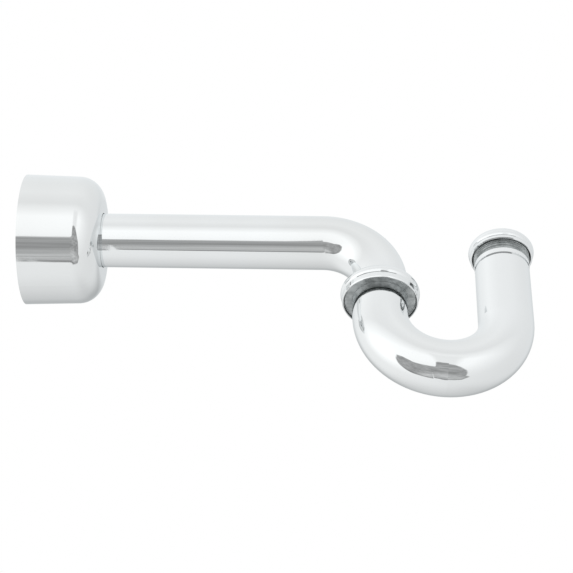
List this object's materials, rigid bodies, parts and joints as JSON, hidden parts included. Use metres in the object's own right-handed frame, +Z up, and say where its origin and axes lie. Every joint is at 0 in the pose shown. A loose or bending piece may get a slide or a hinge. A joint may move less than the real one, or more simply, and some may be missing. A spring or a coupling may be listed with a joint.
{
  "type": "p trap",
  "caption": "Chromed tubular brass P trap with a long wall arm, a swivelling J-bend, round slip nuts and a deep wall flange.",
  "frame": {"origin": "centre of the arm's wall end, on the arm's axis, which is also the wall plane", "axes": "+X along the arm away from the wall, +Z up as installed, +Y to the left seen from the wall"},
  "size_m": [0.3587, 0.0922, 0.1776],
  "materials": {
    "polished_tube": "mirror chrome plate on drawn brass tube",
    "plated_casting": "chrome plate on turned and cast brass",
    "spun_chrome": "mirror chrome plate on spun sheet",
    "raw_brass": "turned, unplated",
    "black_rubber": "moulded",
    "white_nylon": "stamped"
  },
  "bodies": {
    "wall_arm": {"trap_arm_tube": "polished_tube", "arm_ferrule": "raw_brass"},
    "j_bend": {"j_bend_tube": "polished_tube", "j_bend_outlet_collar": "plated_casting", "j_bend_inlet_collar": "plated_casting", "union_washer": "black_rubber", "inlet_washer": "black_rubber"},
    "union_ring": {"union_friction_ring": "white_nylon"},
    "union_nut": {"union_nut": "plated_casting"},
    "inlet_ring": {"inlet_friction_ring": "white_nylon"},
    "inlet_nut": {"inlet_slip_nut": "plated_casting"},
    "flange": {"box_flange": "spun_chrome", "flange_grip_ring": "black_rubber"},
    "wall_ring": {"wall_friction_ring": "white_nylon", "wall_washer": "black_rubber"},
    "wall_nut": {"wall_nut": "plated_casting"}
  },
  "joints": [
    {"name": "j_bend_swivel", "type": "hinge", "parent": "wall_arm", "child": "j_bend", "pos_m": [0.25, 0, -0.05], "axis": [0, 0, 1], "range_deg": [-149.7, 140.3]},
    {"name": "union_nut_lift", "type": "slide", "parent": "j_bend", "child": "union_ring", "axis": [0, 0, 1], "range_m": [0, 0.0067]},
    {"name": "union_nut_turn", "type": "hinge", "parent": "union_ring", "child": "union_nut", "pos_m": [0.25, 0, -0.05], "axis": [0, 0, 1], "range_deg": [0, 1080]},
    {"name": "inlet_nut_lift", "type": "slide", "parent": "j_bend", "child": "inlet_ring", "axis": [0, 0, 1], "range_m": [0, 0.0067]},
    {"name": "inlet_nut_turn", "type": "hinge", "parent": "inlet_ring", "child": "inlet_nut", "pos_m": [0.33571, 0.00705, -0.002], "axis": [0, 0, 1], "range_deg": [0, 1080]},
    {"name": "flange_slide", "type": "slide", "parent": "wall_arm", "child": "flange", "axis": [1, 0, 0], "range_m": [0, 0.095]},
    {"name": "wall_nut_slide", "type": "slide", "parent": "wall_arm", "child": "wall_ring", "axis": [1, 0, 0], "range_m": [-0.022, 0.008]},
    {"name": "wall_nut_turn", "type": "hinge", "parent": "wall_ring", "child": "wall_nut", "pos_m": [0.03, 0, 0], "axis": [1, 0, 0], "continuous": true}
  ],
  "couplings": [
    {"joint": "union_nut_lift", "follows": "union_nut_turn", "m_per_rad": 0.00035157},
    {"joint": "inlet_nut_lift", "follows": "inlet_nut_turn", "m_per_rad": 0.00035157}
  ]
}
